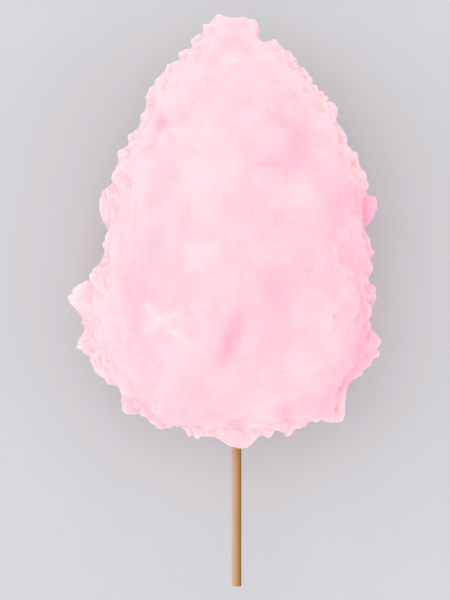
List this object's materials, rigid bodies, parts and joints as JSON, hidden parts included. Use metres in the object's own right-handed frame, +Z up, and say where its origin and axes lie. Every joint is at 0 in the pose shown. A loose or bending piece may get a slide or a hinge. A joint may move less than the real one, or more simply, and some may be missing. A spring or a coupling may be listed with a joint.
{
  "type": "cotton candy on a stick",
  "caption": "Head of pale pink spun sugar wound round a plain round wooden stick, lying on its back.",
  "frame": {"origin": "on the flat of the floss's underside that the part rests on, right under the stick's axis", "axes": "+Z up from the table to the shown side, +Y along the stick from its held end to the floss's crown, +X to the right in the shown view"},
  "size_m": [0.1964, 0.3578, 0.1592],
  "materials": {
    "spun_sugar": "matte, fluffy spun sugar in pale pink with deeper pink in the folds",
    "birch": "smooth, untreated light wood, with fine straight grain"
  },
  "bodies": {
    "root": {"floss": "spun_sugar", "stick": "birch"}
  },
  "joints": []
}
